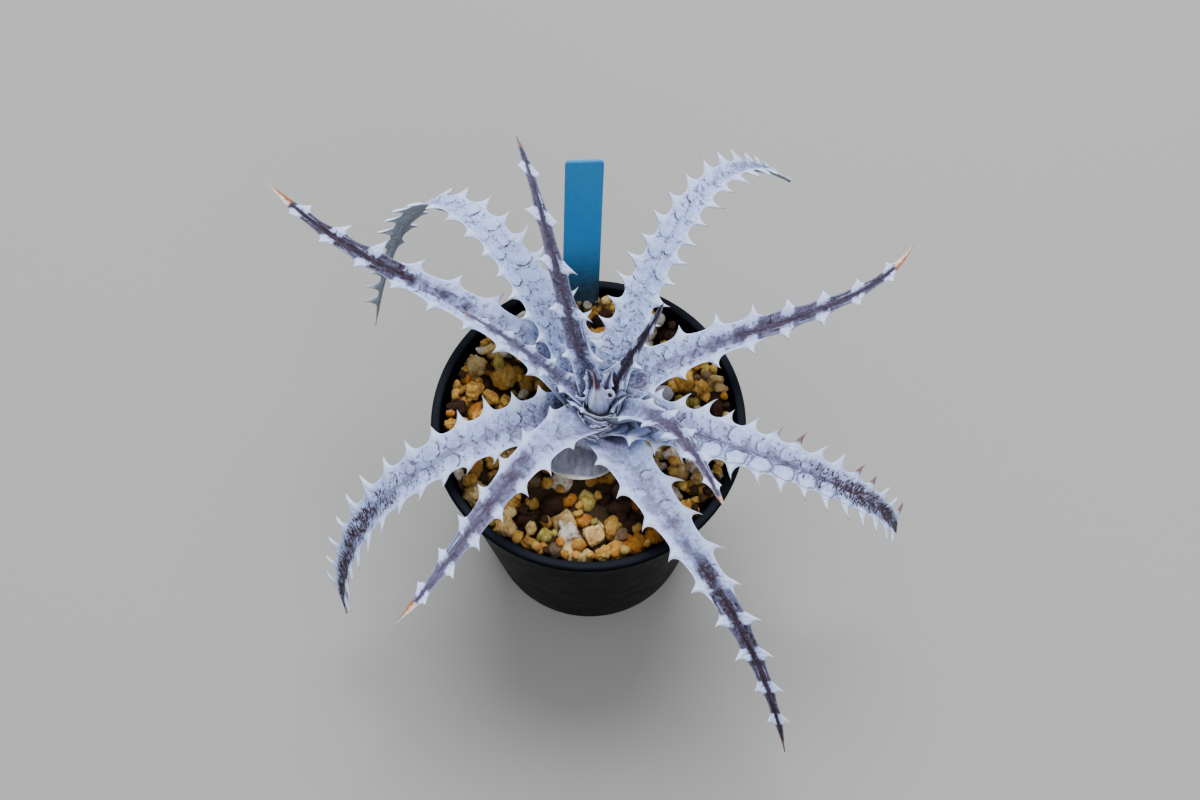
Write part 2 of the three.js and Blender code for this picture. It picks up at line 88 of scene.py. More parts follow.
LEAVES = {
    "leaf_right_young": Leaf(
        midrib=[(7, 5, 94), (9, 9, 107), (16, 10, 120), (20, 14, 134)],
        width=4.5, taper=0.8, teeth=3, tooth=(1.2, 1.2), stripe=(-0.2, 1.0, 1.0, 0.1),
        scale=0.6, point=(1.5, 0.0)),
    "leaf_left_young": Leaf(
        midrib=[(-2, 5, 94), (-12, 7, 109), (-22, 11, 122), (-34, 13, 132)],
        width=6.5, taper=1.0, teeth=5, tooth=(1.8, 1.8), stripe=(0.05, 0.85, 0.72, 0.6),
        scale=0.7, point=(3.0, 0.3)),
    "leaf_front_young": Leaf(
        midrib=[(8, -1, 93), (22, -3, 109), (30, -24, 119), (36, -39, 120)],
        width=9.0, taper=1.05, teeth=5, tooth=(2.2, 2.2), hook=(10, 10),
        stripe=(0.2, 0.95, 0.65, 0.55), scale=0.7, point=(4.5, 0.6), crisp=0.5, plum=0.8,
        ivory=0.45),
    "leaf_back": Leaf(
        midrib=[(1, 7, 93), (-6, 18, 117), (-12, 43, 138), (-20, 67, 132)],
        width=7.0, taper=0.9, teeth=5, tooth=(3.0, 3.0), hook=(-15, -25),
        stripe=(0.08, 0.95, 0.7, 0.25), scale=0.8, point=(5.0, 0.2)),
    "leaf_left_upper": Leaf(
        midrib=[(-2, 6, 92), (-33, 35.5, 107), (-59, 27.5, 114), (-90, 58, 122)],
        width=12.6, taper=0.9, teeth=8, tooth=(3.2, 5.4), hook=(15, -10),
        stripe=(0.45, 1.0, 0.45, 0.05), point=(9.5, 1.0), plum=0.5),
    "leaf_right_upper": Leaf(
        midrib=[(8, 5, 91), (27, 23, 104), (77, 17, 111), (91, 41, 118)],
        width=13.0, taper=1.1, teeth=8, tooth=(3.8, 3.8), hook=(-10, 25),
        stripe=(0.34, 0.95, 0.45, 0.2), point=(9.5, 1.0), middle_shade=0.9, plum=0.8),
    "leaf_front_left": Leaf(
        midrib=[(0, -3, 92), (-16, -8.5, 104), (-33, -49, 112), (-50, -67, 110)],
        width=12.0, taper=0.95, teeth=7, tooth=(3.4, 3.4), hook=(15, -10),
        stripe=(0.30, 0.9, 0.6, 0.45), point=(8.0, 0.8), crisp=0.5, plum=0.9),
    "leaf_front": Leaf(
        midrib=[(6, -4, 88), (16.5, -33, 106), (45, -60, 104), (55, -89, 60)],
        width=14.0, taper=1.1, teeth=9, tooth=(3.8, 3.6), hook=(35, 30),
        tip_loss=(0.5, 0.5), stripe=(0.42, 1.0, 0.58, 0.0), scale=1.1, point=(5.0, 0.1),
        crisp=0.5, middle_shade=0.85, plum=0.7),
    "leaf_right_lower": Leaf(
        midrib=[(9, 1, 88), (20, -8, 106), (82, -26, 106), (91, -22, 54)],
        width=13.5, taper=0.43, teeth=14, tooth=(4.8, 5.0), hook=(18, 30),
        tip_loss=(0.1, 0.3), mottle=(0.48, 1.0), hatch=1.4, scale=1.2, nails=-1, vein=0.9,
        point=(2.0, 0.4), middle_shade=1.0, plum=0.65, browned=1),
    "leaf_left_lower": Leaf(
        midrib=[(-3, 1, 88), (-18, -6, 104), (-75, -24, 106), (-72, -43, 42)],
        width=13.5, taper=0.5, teeth=13, tooth=(3.4, 5.3), hook=(38, 0),
        tip_loss=(0.2, 0.0), mottle=(0.46, 1.0), hatch=1.6, scale=1.3, point=(2.0, 0.2),
        middle_shade=0.85, plum=0.5),
    "leaf_back_left": Leaf(
        midrib=[(1, 8, 89), (-27, 52, 120), (-51, 74, 138), (-67, 50, 46)],
        width=15.0, bulge=2.0, taper=2.3, teeth=18, tooth=(4.4, 6.4), hook=(0, 22),
        tip_loss=(0.0, 3.0), roll=60, mottle=(0.8, 0.3), scale=1.4, point=(9.0, 0.5),
        middle_shade=0.2, plum=0.15),
    "leaf_back_right": Leaf(
        midrib=[(5, 8, 89), (23, 55, 120), (39, 66, 136), (61, 81, 82)],
        width=11.5, taper=0.75, teeth=16, tooth=(4.9, 4.9), hook=(8, 22),
        tip_loss=(0.4, 0.4), mottle=(0.5, 0.45), scale=1.4, point=(4.0, 0.0), middle_shade=0.15,
        plum=0.15),
}

# Toothless old leaves; frosted says how pale their skin still is.
STUBS = {
    "old_stub_front": Leaf(
        midrib=[(-2, -2.5, 84.5), (-2.8, -7, 86), (-3.8, -12, 86.4), (-4.2, -17, 85)],
        width=25.0, bulge=3.5, taper=0.5, teeth=0, tooth=(0, 0), roll=-15, frosted=0.0),
    "old_stub_right": Leaf(
        midrib=[(9, 3, 86), (14, 5, 86.5), (19, 7, 87), (24, 9.5, 87)],
        width=6.5, bulge=6, taper=0.5, teeth=0, tooth=(0, 0), frosted=0.9),
}

# ---- small helpers ------------


def lerp(a, b, t):
    return a + (b - a) * t


def smooth(x, low, high):
    """0 below low, 1 above high, with a soft step between them."""
    t = np.clip((x - low) / (high - low), 0.0, 1.0)
    return t * t * (3 - 2 * t)


def around(x, y, radius, angle):
    """A point of a circle."""
    return x + radius * math.cos(angle), y + radius * math.sin(angle)


def make_object(name, verts_mm, faces, material, attributes=None, smooth_shade=True):
    """A mesh object with its material and its per-point attributes."""
    mesh = bpy.data.meshes.new(name)
    mesh.from_pydata((np.asarray(verts_mm, float) * MM).tolist(), [], faces)
    for key, values in (attributes or {}).items():
        values = np.asarray(values, np.float32)
        kind, field = ("FLOAT", "value") if values.ndim == 1 else ("FLOAT_VECTOR", "vector")
        mesh.attributes.new(key, kind, "POINT").data.foreach_set(field, values.ravel())
    mesh.polygons.foreach_set("use_smooth", [smooth_shade] * len(mesh.polygons))
    mesh.materials.append(material)
    mesh.validate()
    thing = bpy.data.objects.new(name, mesh)
    bpy.context.scene.collection.objects.link(thing)
    return thing


def fit(piece, node=None):
    """Hands a piece to the frame, in place of the node it refines, if there is one."""
    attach(piece, "root")
    if node:
        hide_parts(node)


def joined(parts):
    """Several (vertices, faces, attributes) as one."""
    verts, faces, attributes, offset = [], [], {}, 0
    for part in parts:
        verts.append(part[0])
        faces += [tuple(i + offset for i in face) for face in part[1]]
        for key, values in part[2].items():
            attributes.setdefault(key, []).append(values)
        offset += len(part[0])
    return np.concatenate(verts), faces, {k: np.concatenate(v) for k, v in attributes.items()}


def tube_faces(rows, count, inward=False):
    """The faces of a closed tube whose points run round it, row after row."""
    faces = []
    for row in range(rows - 1):
        for i in range(count):
            a, b = row * count + i, row * count + (i + 1) % count
            c, d = b + count, a + count
            faces.append((a, d, c, b) if inward else (a, b, c, d))
    last = (rows - 1) * count
    caps = [tuple(range(count))[::-1], tuple(range(last, last + count))]
    return faces + [cap[::-1] if inward else cap for cap in caps]


def drained(bm):
    """The vertices and faces of a bmesh, which is freed."""
    bm.verts.index_update()
    verts = np.array([v.co for v in bm.verts])
    faces = [tuple(v.index for v in face.verts) for face in bm.faces]
    bm.free()
    return verts, faces


def lathe(profile, sides, centre=(0.0, 0.0)):
    """A solid of revolution from (radius, height) pairs that start and end on its axis."""
    angles = np.linspace(0, TURN, sides, endpoint=False)
    verts = [(*centre, profile[0][1])]
    for radius, z in profile[1:-1]:
        verts += [(*around(*centre, radius, angle), z) for angle in angles]
    verts.append((*centre, profile[-1][1]))
    rings = len(profile) - 2
    faces = []
    for i in range(sides):
        k = (i + 1) % sides
        faces.append((0, 1 + k, 1 + i))
        faces.append((len(verts) - 1, 1 + (rings - 1) * sides + i, 1 + (rings - 1) * sides + k))
        for ring in range(rings - 1):
            a = 1 + ring * sides
            faces.append((a + i, a + k, a + sides + k, a + sides + i))
    return verts, faces


def through(operation):
    """A method that sends a Value, and what stands beside it, through a Math node."""
    def method(self, other=0.0):
        return self.shader.math(operation, self, other)
    return method


class Value:
    """A node's output, which arithmetic turns into further nodes."""

    def __init__(self, shader, socket):
        self.shader, self.socket = shader, socket

    def __rsub__(self, other):
        return self.shader.math("SUBTRACT", other, self)

    __add__ = __radd__ = through("ADD")
    __sub__ = through("SUBTRACT")
    __mul__ = __rmul__ = through("MULTIPLY")
    __truediv__ = through("DIVIDE")
    __pow__ = through("POWER")
    __abs__ = through("ABSOLUTE")


class Shader:
    """A node material built up by short calls on numbers, colours and Values. Its colour is
    painted on in layers."""

    def __init__(self, name, colour=None, **surface):
        self.material = bpy.data.materials.new(name)
        self.material.use_nodes = True
        self.tree = self.material.node_tree
        self.colour = colour
        self.set(**surface)

    def set(self, **surface):
        inputs = self.tree.nodes["Principled BSDF"].inputs
        for socket, value in surface.items():
            self.feed(inputs[socket.replace("_", " ")], value)

    def finish(self, **surface):
        self.set(Base_Color=self.colour, **surface)
        return self.material

    def feed(self, socket, value):
        if isinstance(value, Value):
            self.tree.links.new(value.socket, socket)
        elif socket.type == "RGBA":
            socket.default_value = (*value, 1.0)
        else:
            socket.default_value = value

    def node(self, kind, *inputs, **settings):
        made = self.tree.nodes.new("ShaderNode" + kind)
        for key, value in settings.items():
            setattr(made, key, value)
        for key, value in inputs:
            self.feed(made.inputs[key], value)
        return made

    def out(self, output, kind, *inputs, **settings):
        return Value(self, self.node(kind, *inputs, **settings).outputs[output])

    def attribute(self, name, output="Fac"):
        return self.out(output, "Attribute", attribute_name=name)

    def attributes(self, names):
        return [self.attribute(name) for name in names.split()]

    def position(self):
        return self.out("Position", "NewGeometry")

    def height_of(self, vector):
        return self.out("Z", "SeparateXYZ", ("Vector", vector))

    def math(self, operation, a, b=0.0):
        return self.out(0, "Math", (0, a), (1, b), operation=operation)

    def most(self, first, *others):
        for other in others:
            first = self.math("MAXIMUM", first, other)
        return first

    def step(self, value, low, high, start=0.0, end=1.0):
        """Start below low, end above high, with a soft step between them."""
        return self.out(
            "Result", "MapRange", ("Value", value), ("From Min", low), ("From Max", high),
            ("To Min", start), ("To Max", end), interpolation_type="SMOOTHSTEP")

    def fade(self, value, low, high, start=1.0):
        return self.step(value, low, high, start, 0.0)

    def mix(self, share, a, b, mode="MIX"):
        return self.out(2, "Mix", (0, share), (6, a), (7, b), data_type="RGBA", blend_type=mode)

    def paint(self, share, colour):
        self.colour = self.mix(share, self.colour, colour)

    def stretched(self, vector, scale):
        return self.out(0, "VectorMath", (0, vector), (1, scale), operation="MULTIPLY")

    def noise(self, vector, scale, detail=3.0, roughness=0.5, stretch=None, output="Fac"):
        if stretch:
            vector = self.stretched(vector, stretch)
        return self.out(
            output, "TexNoise", ("Vector", vector), ("Scale", scale), ("Detail", detail),
            ("Roughness", roughness))

    def cells(self, vector, scale):
        """Distance to the nearest edge of a cell pattern."""
        return self.out(
            "Distance", "TexVoronoi", ("Vector", vector), ("Scale", scale),
            feature="DISTANCE_TO_EDGE")

    def bump(self, height, distance_mm, strength, *under):
        """The bent normal, on top of the one that is under it."""
        return self.out(
            "Normal", "Bump", ("Height", height), ("Distance", distance_mm * MM),
            ("Strength", strength), *(("Normal", normal) for normal in under))


# ---- camera, floor and light ------------

# A 60 mm lens, looking down on the crown from the front.
CAMERA = SimpleNamespace(lens=60.0, elevation=66.5, distance=571.0, target=(3.3, 6.1, 88.0))
FLOOR_HALF = 4000.0
DAYLIGHT = (0.94, 0.97, 1.0)
LIGHT_AIM = (0, 0, 0.09)  # metres
# Each lamp's name, place in metres, diameter in metres and power in watts.
LAMPS = [("sky_panel", (0.05, 0.6, 1.4), 0.9, 31.0), ("front_fill", (0.5, -0.9, 1.0), 1.1, 6.0)]
WORLD_COLOUR, WORLD_STRENGTH = (0.93, 0.96, 1.0), 0.62


def aimed(name, data, place, aim):
    """A camera or a lamp at its place, turned to face its aim."""
    thing = bpy.data.objects.new(name, data)
    thing.location = place
    thing.rotation_euler = (Vector(aim) - Vector(place)).to_track_quat("-Z", "Y").to_euler()
    bpy.context.scene.collection.objects.link(thing)
    return thing


def add_camera():
    elevation = math.radians(CAMERA.elevation)
    backwards = Vector((0, -math.cos(elevation), math.sin(elevation)))
    target = Vector(CAMERA.target) * MM
    data = bpy.data.cameras.new("camera")
    data.lens = CAMERA.lens
    data.sensor_width = 36.0
    data.clip_start = 0.01
    place = target + backwards * CAMERA.distance * MM
    bpy.context.scene.camera = aimed("camera", data, place, target)


def add_floor():
    shader = Shader("floor_plain", Roughness=0.9)
    position = shader.position()
    grain = shader.noise(position, 900.0, 3.0, 0.6)
    cloud = shader.noise(position, 4.0, 2.0)
    tone = 0.04 * grain + 0.05 * cloud
    shader.colour = shader.mix(tone, (0.34, 0.335, 0.32), (0.46, 0.45, 0.43))
    material = shader.finish(Normal=shader.bump(grain, 0.15, 0.3))
    corners = [(-1, -1, 0), (1, -1, 0), (1, 1, 0), (-1, 1, 0)]
    corners = np.array(corners) * FLOOR_HALF
    floor = make_object("floor", corners, [(0, 1, 2, 3)], material, smooth_shade=False)


def add_light():
    for name, place, size, power in LAMPS:
        data = bpy.data.lights.new(name, "AREA")
        data.shape = "DISK"
        data.size = size
        data.energy = power
        data.color = DAYLIGHT
        aimed(name, data, place, LIGHT_AIM)
    world = bpy.data.worlds.new("studio")
    world.use_nodes = True
    background = world.node_tree.nodes["Background"].inputs
    background["Color"].default_value = (*WORLD_COLOUR, 1)
    background["Strength"].default_value = WORLD_STRENGTH
    bpy.context.scene.world = world


# ---- leaf shapes ------------

TOOTH_POWER = 2.7  # how sharply a tooth rises to its tip
BAY = 0.45  # how much of a tooth is the round bay that runs on to its neighbours
TOOTH_JITTER, TOOTH_SWAY = 0.16, 9  # how far teeth differ, as a share and in degrees
FLAT = 0.8  # share of the half width that keeps clear of the teeth
NO_TOOTH = 9.0  # millimetres from a tooth's tip, where there is none


class Midrib:
    """A cubic Bezier curve in millimetres, addressed by its share of length."""

    def __init__(self, points, samples=1200):
        p = np.array(points, float)
        u = np.linspace(0, 1, samples)[:, None]
        v = 1 - u
        self.at = p[0] * v ** 3 + 3 * p[1] * u * v ** 2 + 3 * p[2] * u * u * v + p[3] * u ** 3
        steps = np.linalg.norm(np.diff(self.at, axis=0), axis=1)
        self.length = steps.sum()
        self.share = np.concatenate([[0], np.cumsum(steps)]) / self.length
        self.ahead = np.gradient(self.at, axis=0)
        self.ahead /= np.linalg.norm(self.ahead, axis=1)[:, None]
        span = p[3] - p[0]
        level = np.array([-span[1], span[0], 0.0])
        self.level = level / np.linalg.norm(level)

    def sample(self, shares, table):
        return np.stack([np.interp(shares, self.share, table[:, k]) for k in range(3)], -1)

    def frames(self, shares, roll):
        """Points, directions ahead, to the left and up, each of shape (..., 3)."""
        at = self.sample(shares, self.at)
        ahead = self.sample(shares, self.ahead)
        ahead /= np.linalg.norm(ahead, axis=-1, keepdims=True)
        side = self.level - ahead * (ahead @ self.level)[..., None]
        side /= np.linalg.norm(side, axis=-1, keepdims=True)
        up = np.cross(ahead, side)
        cos, sin = (f(np.radians(roll)[..., None]) for f in (np.cos, np.sin))
        return at, ahead, side * cos + up * sin, up * cos - side * sin


def half_width(leaf, t):
    t = np.clip(t, 0, 1)
    fall = (1 - t ** leaf.bulge) ** leaf.taper
    blade = lerp(BLADE.tip_half_width, leaf.width / 2, fall)
    return blade * (1 + BLADE.sheath_flare * (1 - smooth(t, 0, BLADE.sheath_length)))


def tooth_sizes(leaf, t):
    """How far the left and the right teeth stand out, along the blade."""
    at_base = 0.55 + 0.45 * smooth(t, 0, 0.25)
    return [
        size * at_base * np.clip(1 - loss * smooth(t, 0.6, 1), 0, None)
        for size, loss in zip(leaf.tooth, leaf.tip_loss)]


def tooth_pitch(leaf):
    return (BLADE.last_tooth - BLADE.first_tooth) / leaf.teeth if leaf.teeth else 0.0


def margin_rows(leaf, length, per_tooth=24):
    """Rows along the blade: share of length, rise of the tooth there, tooth number and
    distance along the margin from that tooth's tip in millimetres."""
    if leaf.teeth == 0:
        return [(t, 0.0, 0, NO_TOOTH) for t in 1 - (1 - np.linspace(0, 1, 60)) ** 1.5]
    first, last, pitch = BLADE.first_tooth, BLADE.last_tooth, tooth_pitch(leaf)
    reach = min(pitch / 2, BLADE.tooth_reach / length)
    straight = [p for p in (0.25, 0.5, 0.75) if reach < 0.45 * pitch]
    rows = [(t, 0.0, 0, NO_TOOTH) for t in np.linspace(0, first, 7)[:-1]]
    for tooth in range(leaf.teeth):
        tip = first + (tooth + 0.5) * pitch
        places = [-1 - p * (pitch / 2 / reach - 1) for p in straight[::-1]]
        places += [math.copysign(abs(v) ** 1.6, v) for v in np.linspace(-1, 1, per_tooth)]
        places += [1 + p * (pitch / 2 / reach - 1) for p in straight]
        if not straight:
            places = places[:-1]
        for place in places:
            near = 1 - min(abs(place), 1)
            bay = 1 - min(abs(place) * reach / (pitch / 2), 1)
            rise = lerp(near ** TOOTH_POWER, 1 - math.sqrt(1 - bay ** 2), BAY)
            rows.append((tip + place * reach, rise, tooth, place * reach * length))
    rows += [(t, 0.0, leaf.teeth - 1, NO_TOOTH) for t in np.linspace(last + 0.005, 1, 16)]
    return rows


def blade_columns(inner=9, outer=8):
    """Places across one side of the blade: 0 to 1 over its flat, then 1 to 2 to its edge."""
    flat = np.linspace(0, 1, inner)[1:]
    margin = 1 + (1 - (1 - np.linspace(0, 1, outer)[1:]) ** 1.6)
    return np.concatenate([flat, margin])


def blade(leaf):
    """One leaf's vertices, faces and attributes, a ring of points for each row, and the
    distance between its teeth."""
    midrib = Midrib(leaf.midrib)
    pitch = tooth_pitch(leaf)
    rows = margin_rows(leaf, midrib.length)
    t, rise, number, from_tip = (np.array(column) for column in zip(*rows))
    half = half_width(leaf, t)
    thick = lerp(BLADE.thickness, BLADE.tip_thickness, t)
    if leaf.teeth:  # the last of the blade draws in to a spine
        half = half * (1 - smooth(t, 0.93, 1.0) * 0.75)
        thick = thick * (1 - 0.5 * smooth(t, 0.9, 1.0))
    sheath = 1 - smooth(t, 0, 2 * BLADE.sheath_length)
    channel = BLADE.channel + BLADE.sheath_channel * sheath

    columns = blade_columns()
    over = np.concatenate([columns[::-1], [0], -columns])  # left edge to right edge
    under = over[1:-1][::-1]
    ring = np.concatenate([over, under])
    below = np.concatenate([np.zeros(len(over)), np.ones(len(under))])
    left = ring > 0

    jitter = 1 + TOOTH_JITTER * (rng.random((2, leaf.teeth + 1)) - 0.5) * 2
    sway = TOOTH_SWAY * (rng.random((2, leaf.teeth + 1)) - 0.5) * 2
    heights = [size * jitter[side][number] for side, size in enumerate(tooth_sizes(leaf, t))]
    half = half[:, None]
    tall = np.where(left, heights[0][:, None], heights[1][:, None])
    stand = tall * rise[:, None]
    flat = FLAT * half
    out = half - flat + stand
    place = np.abs(ring)[None, :]
    across = np.where(place <= 1, place * flat, flat + (place - 1) * out)
    edge = half + stand
    share = across / edge
    signed = across * np.sign(ring)[None, :]

    # how far each point leans along the blade where a tooth is hooked
    lean_left, lean_right = (leaf.hook[side] + sway[side][number][:, None] for side in (0, 1))
    hook = np.tan(np.radians(np.where(left, lean_left, lean_right)))
    beyond = np.clip(across - half, 0, None)
    outwards = beyond / np.maximum(tall, 0.01)
    lean = beyond * hook * (0.15 + 0.85 * outwards ** 1.3)

    # the left and the right teeth stand a quarter of a pitch either way
    shift = signed / (half + max(leaf.tooth)) * (pitch / 4)
    along = np.clip(t[:, None] + shift * smooth(t, 0, 0.1)[:, None], 0, 1)
    body = thick[:, None] * (1 - 0.45 * share ** 2)
    depth = body * np.sqrt(np.clip(1 - share ** 4, 0, 1))
    lift = channel[:, None] * np.where(across <= half, across ** 2 / half, half + 0.35 * beyond)
    ridge = np.exp(-(from_tip / 1.5) ** 2)[:, None] * smooth(share, 0.2, 0.75)
    ridge = ridge * (1 - smooth(share, 0.85, 1)) * (half > 2)
    upper = lift - 0.35 * (body - depth) + 0.45 * ridge
    height_of = np.where(below[None, :] > 0, upper - depth, upper)

    at, ahead, side, up = midrib.frames(along, leaf.roll * along)
    points = at + side * signed[..., None] + up * height_of[..., None] + ahead * lean[..., None]

    own_place = np.full_like(signed, leaf.width * 7.3)  # another width has other noise
    count = len(ring)
    attributes = {
        "to_end": ((1 - along) * midrib.length).ravel(),
        "place": np.stack([along * midrib.length, signed, own_place], -1).reshape(-1, 3),
        "rel": (across / half).ravel(),
        "phase": np.repeat((t - BLADE.first_tooth) / (pitch or 1.0), count),
        "spine": (np.clip(outwards, 0, 1) * (tall > 0)).ravel(),
        "margin": (edge - across).ravel(),
        "share": along.ravel(),
        "below": np.tile(below, len(t)),
        "half": np.repeat(half, count),
        "side": np.tile(np.sign(ring), len(t)),
    }
    return points.reshape(-1, 3), tube_faces(len(t), count), attributes, midrib.length * pitch


# ---- leaf surface ------------

FROST = (0.47, 0.58, 1.0)
# the frost in painted shade, also the grey of frost dusted over the dark stripe
SHADED_AND_DUSTED_FROST = (0.165, 0.175, 0.32)
PLUM = (0.15, 0.115, 0.20)
SPECKLE_AND_SHADOW = (0.11, 0.09, 0.15)
CRACK = (0.045, 0.028, 0.05)
FLECK = (0.042, 0.021, 0.027)
# painted shade deep in the crown, at each leaf's foot
SOCKET_SHADE = (0.045, 0.040, 0.065)
# the dark stripe and its pale streaks, each on a plain and on a mauve leaf
STRIPE = ((0.018, 0.008, 0.016), (0.062, 0.037, 0.072))
STRIPE_PALE = ((0.090, 0.056, 0.098), (0.19, 0.14, 0.235))
UNDERSIDE = (0.20, 0.23, 0.28)
UNDERSIDE_PALE = (0.30, 0.34, 0.44)
SPINE_WHITE = (0.68, 0.77, 1.0)
SPINE_ORANGE = (0.42, 0.13, 0.04)
SPINE_CREAM = (0.80, 0.62, 0.55)
SPINE_DARK = (0.10, 0.05, 0.05)
SPINE_BROWN = (0.15, 0.06, 0.05)


def leaf_material(name, leaf, pitch):
    """Frosted leaf skin: fine cracks, neighbours' imprints, dark stripe or flecks."""
    skin = Shader(name, FROST, Roughness=0.72, Specular_IOR_Level=0.25)
    step, fade, noise, paint, mix = skin.step, skin.fade, skin.noise, skin.paint, skin.mix
    most, calc = skin.most, skin.math
    place = skin.attribute("place", "Vector")
    rel, share, below, spine, margin, side, phase, half, to_end = skin.attributes(
        "rel share below spine margin side phase half to_end")

    # frost with soft clouds, and painted shade along the middle and towards the crown
    cloud = noise(place, 0.24, 3.0, 0.6)
    grain = noise(place, 2.3, 4.0, 0.7, stretch=(0.9, 1.4, 1))
    # painted shade in the channel along the midrib, broken up by the clouds
    paint(fade(rel - 1.8 * cloud, -1.0, -0.1, leaf.middle_shade), SHADED_AND_DUSTED_FROST)
    clouds = step(noise(place, 0.17, 4.0, 0.65), 0.46, 0.66, 0, leaf.plum)
    paint(clouds * fade(rel, 0.5, 1.0), PLUM)
    # painted shade on the leaf bases towards the crown, where specks and cracks also grow denser
    crown = fade(share, 0.03, 0.28, 0.50)
    paint(crown * step(cloud, 0.3, 0.6, 0.3, 1), SHADED_AND_DUSTED_FROST)
    spotted = step(noise(place, 0.42) + crown * 0.15, 0.49, 0.64)
    dots = step(grain, 0.48, 0.62, 0, 0.9 * leaf.crisp) * spotted
    paint(dots * fade(rel, 0.7, 0.95), SPECKLE_AND_SHADOW)

    # a broken net of dark cracks, coarse and fine, bent by slow noise
    drift = skin.stretched(noise(place, 0.45, output="Color"), (2.6, 2.6, 0))
    warped = skin.out(0, "VectorMath", (0, place), (1, drift), operation="ADD")
    coarse = skin.cells(skin.stretched(warped, (0.8, 0.6, 1)), 0.42)
    fine = skin.cells(skin.stretched(warped, (0.7, 1.2, 1)), 0.95)
    broken = noise(place, 0.8) + crown * 0.16
    lines = fade(coarse, 0.0, 0.1) * step(broken, 0.5, 0.6)
    scratch = fade(fine, 0.0, 0.11, 0.9) * step(broken, 0.54, 0.64)
    lines = most(lines, scratch) * fade(rel, 0.75, 1.0)

    # the round imprints of neighbours' teeth, staggered either side of the midrib: pale
    # and raised, with a dark crease and a soft painted shadow on the side towards the crown
    turn = 0.25 * side + phase
    number = 0.37 * side + calc("FLOOR", turn)
    luck = skin.out("Value", "TexWhiteNoise", ("W", number), noise_dimensions="1D")
    other = calc("FRACT", luck * 7.0)  # a second number drawn for each imprint
    ahead = (calc("FRACT", turn) - 0.5) * pitch + 3.2 * (luck - 0.5)
    aside = (rel - (0.3 * other + 0.25)) * half
    size = (1.1 * other + 0.95) * leaf.scale
    radius = calc("SQRT", ahead * ahead + aside * aside)
    edge = radius + 1.3 * (noise(place, 0.7, 4.0) - 0.5) - size
    clear = step(rel, 0.02, 0.16) * step(share, 0.07, 0.14)
    lower = fade(ahead / size, -0.75, -0.1) * step(luck, 0.15, 0.45, 0.15, 1)
    lower = lower * fade(rel, 0.85, 1.0) * clear
    weight = step(noise(place, 0.9, 2.0), 0.38, 0.66, -0.03, 0.24)
    crease = fade(abs(edge) - weight, 0.0, 0.07) * lower
    shadow = fade(edge, 0.0, 1.2) * step(edge, -0.05, 0.05) * lower
    raised = fade(edge, -0.3, 0.0) * clear
    lines = lines * (1 - raised * 0.75)
    paint(raised * 0.3, FROST)
    paint(shadow * 0.55, SPECKLE_AND_SHADOW)
    marks = most(lines * (0.8 * leaf.crisp), crease * (0.5 + 0.5 * leaf.crisp))

    # pale nail-shaped scales, one to a tooth, with a fine dark double outline
    local = calc("FRACT", phase) - 0.5  # 0 at a tooth, a half in the bays beside it
    if leaf.nails:
        across = (rel - 0.58) * half / (0.17 * leaf.width)
        along = local / 0.4
        corner = abs(across) ** 2.4 + abs(along) ** 2.4
        box = corner ** 0.417 + 0.95 * (noise(place, 0.5) - 0.5)
        outer, inner = (abs(box - line) for line in (1.08, 0.9))
        outline = most(fade(outer, 0.03, 0.11), fade(inner, 0.01, 0.06, 0.55))
        row = fade(rel, 1.05, 1.2) * step(side * leaf.nails, 0.0, 0.01) * fade(share, 0.66, 0.8)
        nail = fade(box, 0.95, 1.08) * row
        marks = marks * (1 - nail * 0.85)
        gaps = row * step(box, 1.1, 1.3) * step(noise(place, 1.4), 0.42, 0.6)
        marks = most(marks, outline * row * 0.8, gaps * 0.55)
        paint(nail * 0.8, FROST)
        raised = most(raised * 0.3, nail)
    if leaf.vein:
        bend = 0.3 * (noise(place, 0.5, stretch=(0.3, 0, 0)) - 0.5)
        vein = fade(abs(rel + bend), 0.0, 0.06)
        vein = vein * step(noise(place, 0.35, 2.0), 0.35, 0.6) * leaf.vein
        marks = most(marks, vein)
    paint(marks * 0.9, CRACK)

    # dark stripe along the midrib, widening towards the tip until only the teeth and
    # their feet are still frosted
    start, strength, reach, mauve = leaf.stripe
    deep, pale = (
        tuple(lerp(a, b, mauve) for a, b in zip(*pair)) for pair in (STRIPE, STRIPE_PALE))
    ragged = noise(place, 0.9, 4.0, 0.6, stretch=(0.6, 1, 1)) - 0.5
    patch = 0.55 * (noise(place, 0.2, 3.0, 0.6) - 0.5)
    gap = 1.6 * ragged + abs(local * pitch)
    foot = fade(gap, 1.5, 2.3) * step(rel + ragged, 0.3, 0.6)
    width = step(share, start + 0.02, start + 0.22, reach, 1.3)
    lane = 0.45 * ragged + rel - width
    onset = step(share + patch, start - 0.12, start + 0.1)
    bare = fade(lane, -0.08, 0.08) * onset * strength * (1 - foot)
    streak = noise(place, 1.5, 4.0, 0.65, stretch=(0.14, 1.7, 1))
    dark = mix(step(streak, 0.47, 0.76), deep, pale)
    dusted = step(0.2 * rel + noise(place, 0.8, 4.0, 0.7), 0.52, 0.72)
    dust_and_rim_highlight = step(share, start, start + 0.5, 0.6 + 0.25 * mauve, 0.12 + 0.5 * mauve)
    dark = mix(dusted * dust_and_rim_highlight, dark, SHADED_AND_DUSTED_FROST)
    worn = noise(place, 1.1, 3.0, 0.6, stretch=(0.10, 1.9, 1))
    worn = step(worn, 0.6, 0.68, 0, 0.75) * step(rel, 0.25, 0.6)
    paint(bare, mix(worn, dark, FROST))

